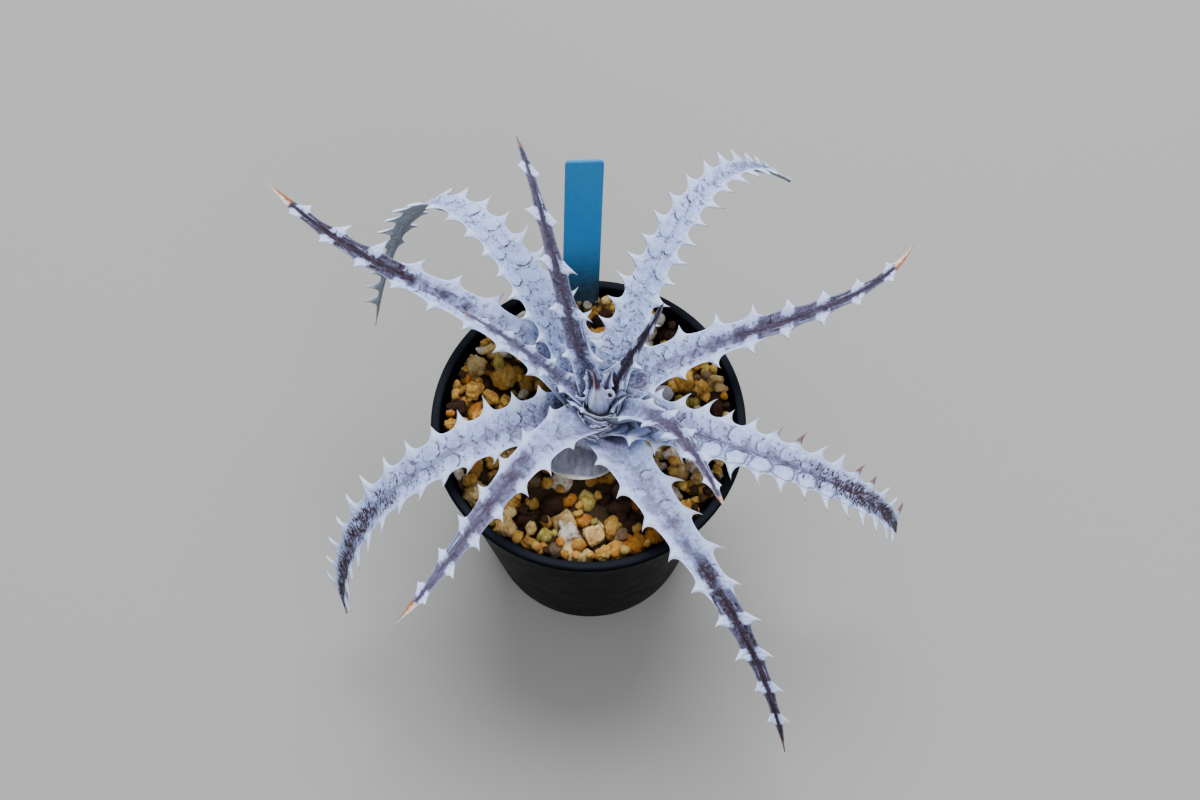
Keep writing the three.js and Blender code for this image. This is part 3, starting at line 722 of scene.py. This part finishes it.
    # dark flecks towards the tip
    start, strength = leaf.mottle
    slanted = skin.out(
        0, "VectorRotate", ("Vector", place), ("Angle", 0.5), rotation_type="Z_AXIS")
    fleck = noise(slanted, leaf.hatch, 4.0, 0.75, stretch=(1.6, 0.45, 1))
    fleck = fleck + 0.3 * (noise(place, 0.28, 2.0) - 0.5)
    sparse = step(share, start - 0.1, start + 0.3, 0.61, 0.43)
    sparse = sparse + step(rel, 0.45, 1.0, 0, 0.08)
    fleck = step(fleck - sparse, 0.0, 0.035)
    paint(fleck * fade(rel, 0.7, 0.95) * step(share, start - 0.12, start + 0.05) * strength, FLECK)

    # pale feet, thin white margin and teeth, some with reddish points or dead and brown
    powder = fade(gap, 0.8, 2.4, 0.5) * step(rel, 0.5, 0.95)
    rim = fade(margin, 0.0, 0.55, 0.75) * step(rel, 0.5, 0.8) * (1 - bare * 0.8)
    paint(most(rim, step(spine, 0.05, 0.45, 0, leaf.ivory), powder), SPINE_WHITE)
    paint(step(spine, 0.72, 0.95) * step(other, 0.4, 0.6, 0.25, 0.95), SPINE_ORANGE)
    if leaf.browned:
        brown = step(spine, 0.0, 0.35) * step(side * leaf.browned, 0.0, 0.01)
        paint(brown * step(share, 0.4, 0.44) * step(other, 0.35, 0.5, 0.1, 0.95), SPINE_BROWN)

    # underside: grey, finely lined along its length
    ribs = noise(place, 1.6, 3.0, 0.6, stretch=(0.06, 2.6, 1))
    under = mix(step(ribs, 0.38, 0.66), UNDERSIDE, UNDERSIDE_PALE)
    paint(below, mix(step(spine, 0.0, 0.5, 0, 0.8), under, UNDERSIDE_PALE))

    # the tip: a bare spine, cream on one side and orange or dark on the other
    length, orange = leaf.point
    across = side * rel + 1.2 * (noise(place, 1.2, 2.0) - 0.5)
    horny = mix(step(across, -0.5, 0.3), SPINE_ORANGE, SPINE_CREAM)
    paint(fade(to_end, length - 1.2, length), mix(orange, SPINE_DARK, horny))
    # painted shade at the very foot of the leaf, deep in the crown
    paint(fade(share, 0.0, 0.06, 0.85), SOCKET_SHADE)

    relief = 0.5 * grain + 0.9 * raised - marks
    wave = noise(place, 0.5, 3.0, 0.55, stretch=(0.7, 0.9, 1))
    return skin.finish(Normal=skin.bump(wave, 1.3, 0.7, skin.bump(relief, 0.3, 0.9)))


def add_leaves():
    for name, leaf in LEAVES.items():
        verts, faces, attributes, pitch = blade(leaf)
        material = leaf_material(name + "_skin", leaf, pitch)
        fit(make_object(name + "_blade", verts, faces, material, attributes), name)


# ---- heart ------------

# The bud and, beside it, a young leaf still rolled into a tube, whose axis runs up, over
# its rim and back down inside. Each is rings of x, y, z and radius, and a tip.
BUD = dict(
    rings=[(3, 2, 90, 2.6), (3, 2.4, 94, 3.0), (2.9, 2.9, 97.5, 2.8), (2.6, 3.5, 100.5, 1.9),
           (2.2, 4.3, 103, 0.9), (1.8, 5.2, 106.5, 0.55)],
    tip=(1.4, 6.0, 109), red=1.0)
COLLAR = dict(
    rings=[(5.2, 3.2, 91, 1.0), (5.6, 3.2, 95, 1.3), (6.0, 3.1, 99, 1.6),
           (6.0, 3.1, 99.4, 1.25), (5.8, 3.1, 97, 1.0)],
    tip=(5.8, 3.1, 96.6), red=0.0, sides=28, steps=10)

# The small leaves round the bud: facing, length, width, tilt from upright, root's height
# and distance from the stem's axis.
HEART = [
    (118, 13, 5.6, 16, 93, 3.0), (62, 10, 5.2, 24, 93, 3.2), (8, 8, 5, 34, 92, 3.4),
    (178, 8.5, 5.4, 40, 91.5, 3.6), (300, 5, 7, 52, 90, 3.4), (236, 6, 7.5, 58, 89.5, 3.6),
]

# Half of the stem's outline: radius and height of its corners.
STEM_OUTLINE = [(0, 36), (3, 36), (7, 69), (7, 77), (5.4, 81), (5.4, 88), (3.0, 92.5), (0, 92.5)]

# The free rims of the leaves' sheaths, which clasp the bud from the front: first and last
# direction, distance from the bud's axis, height of the rim, and whether it is toothed.
SHEATHS = [
    (150, 335, 3.9, 94.8, False), (205, 335, 4.9, 94.2, False), (238, 340, 6.3, 93.0, False),
    (150, 208, 8.6, 93.0, True), (335, 400, 5.6, 95.0, True), (185, 235, 6.4, 93.8, True),
    (226, 270, 8.8, 93.4, False), (230, 268, 10.0, 92.6, False),
]
# A rim's own outline: distance outwards and height.
SHEATH_PROFILE = [
    (-0.35, -6.0), (-0.3, -2.5), (-0.1, -0.7), (0.0, -0.15), (0.12, 0.0), (0.28, -0.12),
    (0.45, -0.8), (0.8, -2.4), (1.3, -4.2), (1.7, -6.0),
]
SHEATH_TOOTH = SimpleNamespace(pitch=1.8, height=2.2, reach=0.45)


def heart_leaf(facing, length, width, tilt, root, radius):
    angle = math.radians(facing)
    outward = np.array([math.cos(angle), math.sin(angle), 0.0])
    foot = np.array([STEM.x, STEM.y, root]) + outward * radius

    def reach(part, lean):
        lean = math.radians(lean)
        upward = np.array([0, 0, math.cos(lean)])
        return foot + length * part * (outward * math.sin(lean) + upward)

    midrib = [foot, reach(0.33, tilt * 0.4), reach(0.66, tilt * 0.7), reach(1.0, tilt)]
    return Leaf(
        midrib=midrib, width=width, taper=0.8, teeth=2, tooth=(0.9, 0.9),
        stripe=(0.1, 0.9, 0.7, 0.2), scale=0.5, point=(0.8, 0.0))


def rolled_leaf(rings, tip, red, sides=40, steps=14, seam=0.25):
    """A tapering tube along an axis, with its free edge as a low spiral step. It has a dark
    red point where red is 1."""
    rings = np.array(rings + [(*tip, 0.12)], float)
    u = np.linspace(0, len(rings) - 1, steps * (len(rings) - 1) + 1)
    axis = np.stack([np.interp(u, np.arange(len(rings)), rings[:, k]) for k in range(4)], -1)
    for _ in range(10):
        axis[1:-1] = 0.25 * axis[:-2] + 0.5 * axis[1:-1] + 0.25 * axis[2:]
    verts, turns = [], []
    for row, (x, y, z, radius) in enumerate(axis):
        for i in range(sides):
            turn = i / sides
            angle = TURN * turn + 3.6 + 0.9 * row / len(axis)
            reach = radius + seam * min(1, radius) * (turn - 0.5)
            verts.append((*around(x, y, reach, angle), z))
            turns.append(turn)
    turns = np.array(turns)
    return np.array(verts), tube_faces(len(axis), sides), {
        "height": np.repeat(np.linspace(0, 1, len(axis)), sides),
        "rim": np.maximum(smooth(turns, 0.9, 0.98), 1 - smooth(turns, 0.0, 0.04)),
        "along": turns * 9.0, "kind": np.full(len(turns), red)}


def sheath(first, last, radius, top, toothed, steps=120):
    """The free rim of a sheath: a thin upright wall round part of the bud, flaring below."""
    length = math.radians(last - first) * radius
    verts, alongs = [], []
    for s in np.linspace(0, 1, steps):
        angle = math.radians(lerp(first, last, s))
        ends = abs(2 * s - 1)
        along = s * length
        rim = top - 2.6 * ends ** 5 + 0.25 * math.sin(5 * angle)
        spine = 0.0
        if toothed:
            pitch = SHEATH_TOOTH.pitch
            near = abs(along / pitch - round(along / pitch)) * pitch
            spine = max(0.0, 1 - near / SHEATH_TOOTH.reach) ** 1.5 * (1 - ends ** 6)
            spine *= SHEATH_TOOTH.height
        spread = radius + 0.35 * math.sin(3 * angle + radius)
        for out, up in SHEATH_PROFILE:
            height = rim + up + spine * max(0.0, 1 + up / 1.2)
            verts.append((*around(STEM.x, STEM.y, spread + out, angle), height))
            alongs.append(along)
    inner = [0.15 if out > 0.14 else -0.6 for out, _ in SHEATH_PROFILE]
    rims = [1.0 if up > -0.5 else 0.0 for _, up in SHEATH_PROFILE]
    return np.array(verts), tube_faces(steps, len(SHEATH_PROFILE), inward=True), {
        "height": np.tile(inner, steps), "rim": np.tile(rims, steps),
        "along": np.array(alongs), "kind": np.zeros(len(verts))}


def bud_material():
    """The bud and the sheaths round it: pale and finely ribbed, with a dark red point, and painted
    shade in their hollows. A height below 0 is a sheath's inner side, and one near 1 the inside
    of the rolled leaf."""
    skin = Shader("bud_skin", Roughness=0.6, Specular_IOR_Level=0.3)
    step = skin.step
    height, rim, along, kind = skin.attributes("height rim along kind")
    lengthwise = skin.out(0, "CombineXYZ", ("X", along), ("Y", height))
    ribs = skin.noise(lengthwise, 1.6, 3.0, 0.6)
    mottled = skin.noise(skin.position(), 700.0, 4.0, 0.65)
    skin.colour = skin.mix(step(ribs, 0.35, 0.7), (0.50, 0.54, 0.78), (0.24, 0.25, 0.38))
    skin.paint(step(mottled, 0.45, 0.75, 0, 0.4), (0.17, 0.16, 0.24))
    skin.paint(step(height, 0.54, 0.66) * kind, (0.07, 0.022, 0.032))
    edge = rim * step(height, 0.5, 0.8, 0.9, 0.3)
    band = step(height, 0.52, 0.58) * (1 - kind)
    skin.paint(skin.most(edge, band), (0.80, 0.83, 0.96))
    # painted shade: near-black on the sheaths' inner sides and inside the rolled leaf's mouth
    inside = step(height, 0.74, 0.8) - kind
    skin.paint(skin.most(skin.fade(height, -0.4, 0.0), inside), (0.022, 0.020, 0.030))
    relief = ribs + mottled * 0.5
    return skin.finish(Normal=skin.bump(relief, 0.12, 0.8))


def add_heart():
    parts = []
    for row in HEART:
        small = heart_leaf(*row)
        parts.append(blade(small)[:3])
    verts, faces = lathe(STEM_OUTLINE, 40, (STEM.x, STEM.y))
    blank = {key: np.zeros((len(verts),) + values.shape[1:]) for key, values in parts[0][2].items()}
    blank["margin"] += 5
    parts.append((np.array(verts), faces, blank))
    verts, faces, attributes = joined(parts)
    material = leaf_material("heart_skin", small, 4.0)
    fit(make_object("heart", verts, faces, material, attributes), "stem_and_heart")

    pieces = [rolled_leaf(**BUD), rolled_leaf(**COLLAR)] + [sheath(*row) for row in SHEATHS]
    verts, faces, attributes = joined(pieces)
    fit(make_object("bud_and_sheaths", verts, faces, bud_material(), attributes))


# ---- old stubs ------------


def stub_material(name, frosted):
    """A dead leaf base: grey and ribbed, with a ragged cream edge."""
    skin = Shader(name + "_skin", Roughness=0.75, Specular_IOR_Level=0.25)
    step, mix = skin.step, skin.mix
    place = skin.attribute("place", "Vector")
    ribs = skin.noise(place, 1.0, 5.0, 0.7, stretch=(0.3, 1.5, 1))
    cloud = skin.noise(place, 0.5, 4.0, 0.6)
    ribbed = step(ribs, 0.3, 0.7)
    pale = mix(ribbed, (0.62, 0.62, 0.68), (0.42, 0.42, 0.48))
    skin.colour = mix(ribbed, (0.15, 0.163, 0.225), (0.34, 0.355, 0.47))
    skin.paint(step(cloud, 0.42, 0.68, 0, 0.75), (0.34, 0.32, 0.34))
    skin.paint(frosted, pale)
    wander = 1.6 * cloud + skin.attribute("margin")
    rim = skin.most(skin.fade(wander, 0.9, 2.3), step(skin.attribute("share"), 0.9, 0.96))
    cream = mix(step(ribs, 0.4, 0.65), (0.78, 0.74, 0.66), (0.52, 0.47, 0.40))
    skin.paint(rim, mix(frosted, cream, pale))
    return skin.finish(Normal=skin.bump(ribs, 0.25, 0.8))


def add_stubs():
    for name, stub in STUBS.items():
        verts, faces, attributes, _ = blade(stub)
        material = stub_material(name, stub.frosted)
        fit(make_object(name + "_piece", verts, faces, material, attributes), name)


# ---- pot ------------


def wall_radius(height):
    return lerp(POT.base_radius, POT.rim_radius - POT.lip, height / POT.height)


def cavity_radius(height, gap=0.0):
    """The radius inside the pot's wall, less a gap."""
    return wall_radius(height) - POT.wall - gap


def rounded(profile, radius=0.35, steps=4):
    """The profile with each inner corner replaced by a short curve."""
    out = [profile[0]]
    for before, corner, after in zip(profile, profile[1:], profile[2:]):
        before, corner, after = (np.array(p, float) for p in (before, corner, after))
        back, ahead = before - corner, after - corner
        reach = min(radius, 0.45 * np.linalg.norm(back), 0.45 * np.linalg.norm(ahead))
        start = corner + back / np.linalg.norm(back) * reach
        end = corner + ahead / np.linalg.norm(ahead) * reach
        for s in np.linspace(0, 1, steps):
            out.append(tuple((1 - s) ** 2 * start + 2 * s * (1 - s) * corner + s * s * end))
    out.append(profile[-1])
    return out


def pot_profile():
    top, lip_bottom = POT.height, POT.height - POT.lip_height
    foot, floor_top = POT.foot_height, POT.foot_height + POT.floor
    base, rim, mouth = POT.base_radius, POT.rim_radius, cavity_radius(top)
    return rounded([
        (0, 0), (POT.pad_radius, 0), (POT.pad_radius + 1, foot),
        (base - POT.foot_width - 1, foot), (base - POT.foot_width, 0), (base - 0.8, 0),
        (wall_radius(1), 1), (wall_radius(lip_bottom), lip_bottom),
        (rim - 0.4, lip_bottom + 0.9), (rim, top - 1.6), (rim - 0.4, top - 0.4),
        (rim - POT.lip / 2, top), (mouth + 0.5, top - 0.3), (mouth, top - 1.2),
        (cavity_radius(floor_top + 2), floor_top + 2),
        (cavity_radius(floor_top) - 2, floor_top), (0, floor_top),
    ])


def pot_material():
    """Black plastic with dust all over; near the rim a lighter tone, partly dust and partly
    painted highlight, and along its top a thin bluish painted highlight.
    """
    shader = Shader("pot_black_plastic", (0.0020, 0.0022, 0.0025), Specular_IOR_Level=0.006)
    position = shader.position()
    high = shader.height_of(position)
    fine = shader.noise(position, 2600.0, 3.0, 0.6)
    dust = shader.noise(position, 140.0, 5.0, 0.7)
    # dust all over, stronger towards the rim, where its lighter tone is also part of the rim's
    # painted highlight
    toward_rim = shader.step(high, 0.080, 0.088, 0.25, 1)
    dust_and_rim_highlight = shader.step(dust, 0.48, 0.75, 0, 0.4) * toward_rim
    shader.paint(dust_and_rim_highlight, (0.009, 0.010, 0.012))
    # painted highlight: a thin bluish line along the top of the rim
    shader.paint(shader.step(high, 0.0869, 0.0879, 0, 0.8), (0.013, 0.015, 0.022))
    roughness = shader.step(dust, 0.3, 0.75, 0.32, 0.42)
    return shader.finish(Roughness=roughness, Normal=shader.bump(fine, 0.03, 0.3))


def add_pot():
    verts, faces = lathe(pot_profile(), 160)
    piece = make_object("pot_shell", verts, faces, pot_material())
    for i in range(POT.drain_holes):
        centre = around(0, 0, POT.drain_circle * MM, TURN * i / POT.drain_holes)
        bpy.ops.mesh.primitive_cylinder_add(
            vertices=32, radius=POT.drain_radius * MM, depth=0.02, location=(*centre, 0))
        cutter = bpy.context.object
        cut = piece.modifiers.new("drain", "BOOLEAN")
        cut.object = cutter
        cut.solver = "EXACT"
        bpy.context.view_layer.objects.active = piece
        bpy.ops.object.modifier_apply(modifier=cut.name)
        bpy.data.objects.remove(cutter)
    fit(piece, "pot")


# ---- granular mix ------------

# The granules that are dark bark, as a range of their kind number, and the patches where
# nearly all of them are: x, y and radius.
BARK = (0.64, 0.86)
BARK_PATCHES = [(-13.0, -22.0, 6.5), (9.0, -26.0, 4.5), (34.0, -22.0, 5.5)]
# From which kind number on a granule has which colour: three pumices, olive, grey, bark
# and white.
KINDS = [
    (0.0, (0.86, 0.50, 0.10)), (0.26, (0.92, 0.68, 0.28)), (0.42, (0.68, 0.27, 0.03)),
    (0.50, (0.62, 0.52, 0.12)), (0.57, (0.22, 0.15, 0.085)), (BARK[0], (0.060, 0.026, 0.014)),
    (BARK[1], (0.86, 0.81, 0.69)),
]
# A stone is cut back by planes that reach this share of its radius; wear is how sharp its
# edges are left, stretch how far its sides may differ, and bumps gives the frequency and
# height of its waves.
STONE = SimpleNamespace(
    planes=8, reach=(0.62, 0.95), wear=13.0, stretch=(0.8, 1.15),
    bumps=((3.1, 0.07), (6.3, 0.052), (12.7, 0.032), (24.0, 0.014)))
# The usual radius of pumice, of bark and of the last granules to fall, how far it varies
# and its limits; how closely granules pack, as a share of touching spheres; how far they
# keep from the stem and under a stub; and which of them are seen enough to be fine.
GRAIN = SimpleNamespace(
    pumice=3.1, bark=3.8, last=2.0, varies=0.7, limits=(1.3, 4.6), packing=0.84,
    off_stem=6.5, under_stub=2.8, seen_depth=1.8, seen_radius=2.1)
PATCH_REACH = 39.0  # the distance from the axis where the patches end


def pebble(radius, directions):
    """A broken stone: a sphere cut back by a few planes, its edges worn, its skin rough."""
    planes = rng.normal(size=(STONE.planes, 3))
    planes /= np.linalg.norm(planes, axis=1)[:, None]
    reach = rng.uniform(*STONE.reach, STONE.planes)
    limit = np.minimum(reach / np.clip(directions @ planes.T, 1e-3, None), 3)
    wear = STONE.wear
    shrink = -np.log(np.exp(-wear * limit).sum(1) + math.exp(-wear * 1.02)) / wear
    bumps = np.zeros(len(directions))
    for frequency, height in STONE.bumps:
        waves = rng.normal(size=(3, 3)) * frequency
        bumps += height * np.sin(directions @ waves.T + rng.uniform(0, 6.28, 3)).sum(1)
    stretch = rng.uniform(*STONE.stretch, 3)
    turn = np.linalg.qr(rng.normal(size=(3, 3)))[0]
    if np.linalg.det(turn) < 0:
        turn[:, 0] *= -1
    return (directions * (shrink + bumps)[:, None] * stretch) @ turn.T * radius


def icosphere(subdivisions):
    bm = bmesh.new()
    bmesh.ops.create_icosphere(bm, subdivisions=subdivisions, radius=1.0)
    return drained(bm)


def under_stubs(x, y):
    """True where an old leaf's stub lies low over the mix."""
    for stub in STUBS.values():
        line = Midrib(stub.midrib, 20).at
        if np.hypot(line[:, 0] - x, line[:, 1] - y).min() < stub.width / 2 + 0.5:
            return True
    return False


def grain_places(tries=6400):
    """Granules dropped one by one: each rests on those below it, up to the mix's top."""
    placed = np.zeros((0, 5))
    for attempt in range(tries):
        done = attempt / tries
        kind = rng.random()
        share = min(1.0, lerp(1.12, 1.5, done) * rng.random() ** 0.40)
        angle = rng.random() * 2 * math.pi
        spot = around(0, 0, share * PATCH_REACH, angle)
        in_patch = any(math.dist(spot, (x, y)) < r for x, y, r in BARK_PATCHES)
        if in_patch and kind > 0.12:
            kind = lerp(*BARK, 0.5)
        usual = GRAIN.bark if BARK[0] < kind < BARK[1] else GRAIN.pumice
        usual = lerp(usual, GRAIN.last, smooth(done, 0.5, 0.9))
        radius = float(np.clip(rng.normal(usual, GRAIN.varies), *GRAIN.limits))
        distance = share * cavity_radius(SOIL.bed, 0.74 * radius)
        x, y = around(0, 0, distance, angle)
        if math.hypot(x - STEM.x, y - STEM.y) < GRAIN.off_stem + radius:
            continue
        z = SOIL.bed + 0.2 * radius
        if len(placed):
            apart = np.hypot(placed[:, 0] - x, placed[:, 1] - y)
            touch = GRAIN.packing * (placed[:, 3] + radius)
            over = placed[:, 2] + np.sqrt(np.clip(touch ** 2 - apart ** 2, 0, None))
            z = max(z, float(np.where(apart < touch, over, 0).max()))
        # the mix is heaped at the wall, and most of all on the right
        top = SOIL.top + 1.5 * smooth(distance, 28, 38) + 1.8 * smooth(x, 14, 34)
        if z + 0.9 * radius > top - GRAIN.under_stub * under_stubs(x, y):
            continue
        placed = np.vstack([placed, [x, y, z, radius, kind]])
    return placed


def grain_material():
    """Pumice, baked clay and bark, told apart by each granule's own kind number."""
    shader = Shader("granule_mix", Roughness=0.9, Specular_IOR_Level=0.25)
    step = shader.step
    kind = shader.attribute("kind")
    position = shader.position()
    made = shader.node("ValToRGB", ("Fac", kind))
    ramp = made.color_ramp
    ramp.interpolation = "CONSTANT"
    for i, (stop, colour) in enumerate(KINDS):
        element = ramp.elements[i] if i < 2 else ramp.elements.new(stop)
        element.position, element.color = stop, (*colour, 1)
    shader.colour = plain = Value(shader, made.outputs["Color"])
    spots = shader.noise(position, 1500.0, 5.0, 0.7)
    broad = shader.noise(position, 420.0, 2.0)
    rusty = shader.mix(0.6, plain, (0.60, 0.22, 0.03), "MULTIPLY")
    shader.paint(step(broad, 0.45, 0.60, 0, 0.85), rusty)
    bleached = step(shader.noise(position, 600.0, 3.0, 0.6), 0.58, 0.72, 0, 0.5)
    shader.paint(bleached * shader.fade(kind, 0.56, 0.57), (0.85, 0.76, 0.55))
    shader.paint(step(spots, 0.52, 0.72, 0, 0.5), (0.14, 0.075, 0.025))
    value = shader.attribute("tint") * 0.45 + 0.8
    shader.colour = shader.out("Color", "HueSaturation", ("Color", shader.colour), ("Value", value))
    pits = step(shader.cells(position, 2600.0), 0.0, 0.25, 0, 0.4)
    relief = 1.2 * broad + spots + pits
    return shader.finish(Normal=shader.bump(relief, 0.75, 1.0))


def bed_material():
    shader = Shader("mix_bed", Roughness=0.95, Specular_IOR_Level=0.2)
    crumbs = shader.noise(shader.position(), 700.0, 6.0, 0.7)
    shader.colour = shader.mix(crumbs, (0.018, 0.012, 0.008), (0.10, 0.06, 0.03))
    return shader.finish(Normal=shader.bump(crumbs, 0.8, 1.0))


def add_mix():
    gap = 0.3
    bottom = POT.foot_height + POT.floor + gap
    profile = [
        (0, bottom), (cavity_radius(bottom, gap) - 2.4, bottom),
        (cavity_radius(bottom + 2, gap), bottom + 2),
        (cavity_radius(SOIL.bed, gap), SOIL.bed), (0, SOIL.bed)]
    verts, faces = lathe(profile, 96)
    bed = make_object("mix_bed", verts, faces, bed_material(), smooth_shade=False)
    fit(bed, "soil")

    fine, coarse = icosphere(4), icosphere(2)
    parts = []
    for x, y, z, radius, kind in grain_places():
        seen = z + radius > SOIL.top - GRAIN.seen_depth and radius > GRAIN.seen_radius
        directions, faces = fine if seen else coarse
        verts = pebble(radius, directions) + np.array([x, y, z])
        tags = {"kind": np.full(len(verts), kind), "tint": np.full(len(verts), rng.random())}
        parts.append((verts, faces, tags))
    verts, faces, attributes = joined(parts)
    fit(make_object("mix_granules", verts, faces, grain_material(), attributes))


# ---- plant label ------------


def label_material():
    """Blue plastic with faint streaks and scuffs, darker towards its foot: dirt and painted
    shade under the leaves.
    """
    shader = Shader("label_blue_plastic", Specular_IOR_Level=0.45)
    step, noise = shader.step, shader.noise
    place = shader.attribute("place", "Vector")
    streaks = noise(place, 2.0, 4.0, 0.6, stretch=(1.2, 1, 0.12))
    blue, pale = (0.016, 0.19, 0.46), (0.03, 0.26, 0.56)
    shader.colour = shader.mix(step(streaks, 0.35, 0.75, 0, 0.5), blue, pale)
    grime_and_shade = noise(place, 0.5, 5.0, 0.7)
    # darker towards the foot: painted shade of the leaves and pot, mottled, with some dirt
    low = shader.fade(shader.height_of(place), 40.0, 70.0)
    shader.paint(low * step(grime_and_shade, 0.3, 0.65, 0.6, 1.0), (0.018, 0.036, 0.042))
    scuff = noise(place, 2.5, 5.0, 0.8, stretch=(0.5, 1, 3.0))
    shader.paint(step(scuff, 0.66, 0.74, 0, 0.25), (0.2, 0.42, 0.6))
    rough = step(grime_and_shade, 0.3, 0.7, 0.36, 0.55)
    return shader.finish(Roughness=rough, Normal=shader.bump(streaks, 0.04, 0.4))


def add_label():
    """The strip with rounded corners and a fine bevel all round, in its own upright frame."""
    half, point, length = LABEL.width / 2, LABEL.point_width / 2, LABEL.length
    corner, thickness = LABEL.corner_radius, LABEL.thickness
    outline = [(-point, 0), (point, 0), (half, LABEL.point_length)]
    for side, first in ((1, 0.0), (-1, math.pi / 2)):
        for a in np.linspace(first, first + math.pi / 2, 9):
            x = side * (half - corner) + corner * math.cos(a)
            outline.append((x, length - corner + corner * math.sin(a)))
    outline.append((-half, LABEL.point_length))
    bm = bmesh.new()
    face = bm.faces.new([bm.verts.new((x, thickness / 2, z)) for x, z in outline])
    made = bmesh.ops.extrude_face_region(bm, geom=[face])
    back = [v for v in made["geom"] if isinstance(v, bmesh.types.BMVert)]
    bmesh.ops.translate(bm, verts=back, vec=(0, -thickness, 0))
    bmesh.ops.recalc_face_normals(bm, faces=bm.faces)
    rims = [e for e in bm.edges if e.calc_face_angle(0) > 1.2]
    bmesh.ops.bevel(bm, geom=rims, offset=LABEL.bevel, segments=3, affect="EDGES")
    verts, faces = drained(bm)
    turn = Matrix.Rotation(math.radians(LABEL.turn), 3, "Z")
    roll = Matrix.Rotation(math.radians(LABEL.roll), 3, "Y")
    lean = Matrix.Rotation(-math.radians(LABEL.lean), 3, "X")
    placed = verts @ np.array(lean @ roll @ turn).T + np.array(LABEL.foot)
    piece = make_object(
        "label_strip", placed, faces, label_material(), {"place": verts}, smooth_shade=False)
    fit(piece, "plant_label")


# ---- assembly ------------

add_camera()
add_floor()
add_light()
add_pot()
add_mix()
add_label()
add_leaves()
add_heart()
add_stubs()

bpy.context.view_layer.update()
